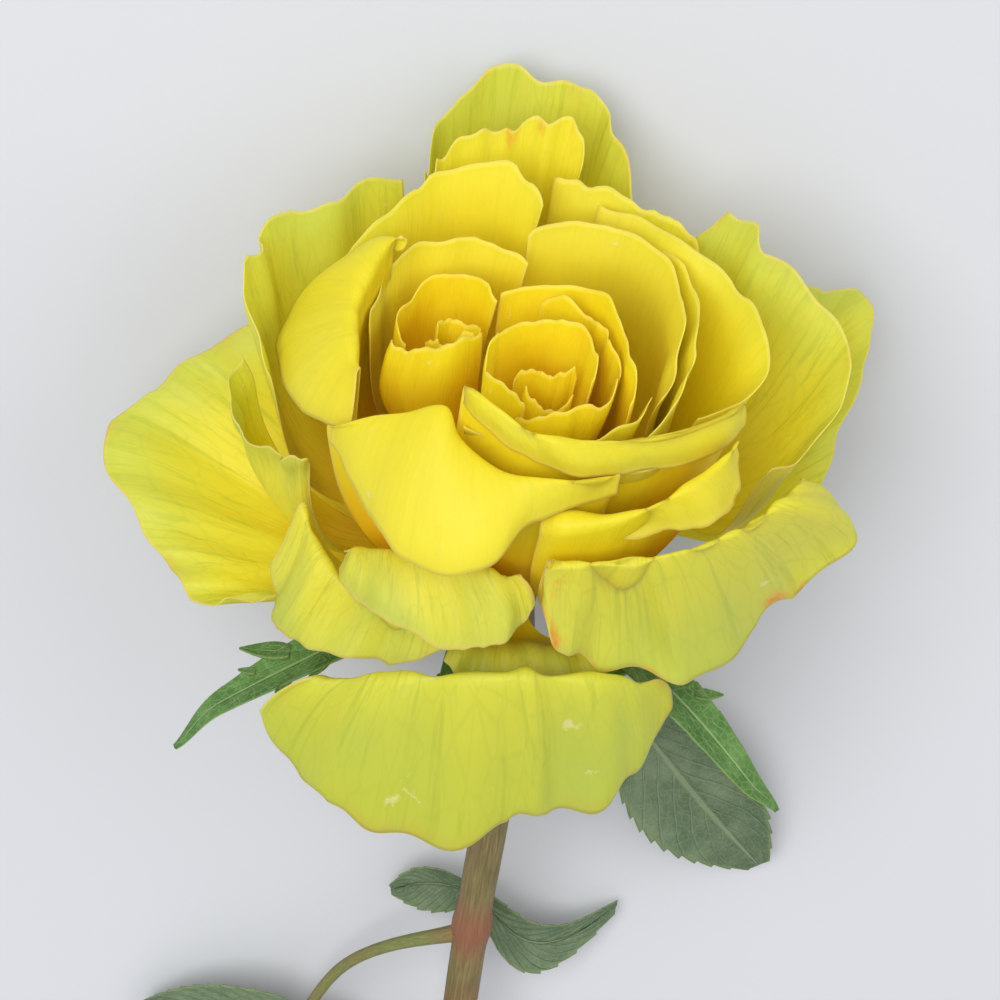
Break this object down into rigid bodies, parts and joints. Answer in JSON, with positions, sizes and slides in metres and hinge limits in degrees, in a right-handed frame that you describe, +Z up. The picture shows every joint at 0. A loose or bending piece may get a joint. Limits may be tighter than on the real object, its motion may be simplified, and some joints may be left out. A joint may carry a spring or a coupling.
{
  "type": "cut rose",
  "caption": "A full yellow garden rose on a cut leafy stem, laid on its side, with a cupped swirling heart, wide rolled outer petals and toothed sepals",
  "frame": {"origin": "the middle of the footprint, on the surface that the rose lies on", "axes": "+Z up from the surface; the stem runs towards +Y and the flower faces -Y and upwards"},
  "size_m": [0.1176, 0.2822, 0.0679],
  "materials": {
    "petal_heart": "satin",
    "petal_inner": "satin",
    "petal_outer": "satin",
    "sepal": "satin",
    "leaf": "satin",
    "stem": "satin"
  },
  "bodies": {
    "root": {"leaf_lower_inner_left": "leaf", "leaf_lower_inner_right": "leaf", "leaf_lower_outer_left": "leaf", "leaf_lower_outer_right": "leaf", "leaf_lower_stalk": "leaf", "leaf_lower_tip": "leaf", "leaf_under_left": "leaf", "leaf_under_right": "leaf", "leaf_under_stalk": "leaf", "leaf_upper": "leaf", "leaf_upper_stalk": "leaf", "petal_back_cup": "petal_inner", "petal_back_left": "petal_outer", "petal_back_middle": "petal_outer", "petal_back_right": "petal_inner", "petal_back_tall": "petal_outer", "petal_bowl_front": "petal_inner", "petal_bowl_left": "petal_inner", "petal_bowl_right": "petal_inner", "petal_bowl_side": "petal_inner", "petal_far_left": "petal_outer", "petal_far_right": "petal_outer", "petal_front_cup": "petal_inner", "petal_front_drop": "petal_outer", "petal_front_fold": "petal_inner", "petal_front_left": "petal_outer", "petal_front_lip": "petal_outer", "petal_front_right": "petal_outer", "petal_front_under": "petal_outer", "petal_left_drape": "petal_inner", "petal_left_roll": "petal_outer", "petal_left_spread": "petal_outer", "petal_left_swirl_1": "petal_heart", "petal_left_swirl_2": "petal_heart", "petal_left_swirl_3": "petal_heart", "petal_left_swirl_4": "petal_heart", "petal_right_point": "petal_outer", "petal_right_swirl_1": "petal_heart", "petal_right_swirl_2": "petal_heart", "petal_right_swirl_3": "petal_heart", "petal_right_swirl_4": "petal_heart", "petal_right_swirl_5": "petal_heart", "petal_right_swirl_6": "petal_heart", "petal_right_swirl_7": "petal_heart", "petal_ring_front": "petal_inner", "petal_ring_low": "petal_inner", "petal_ring_right": "petal_inner", "receptacle": "sepal", "sepal_1": "sepal", "sepal_2": "sepal", "sepal_3": "sepal", "sepal_4": "sepal", "sepal_5": "sepal", "stem": "stem"}
  },
  "joints": []
}
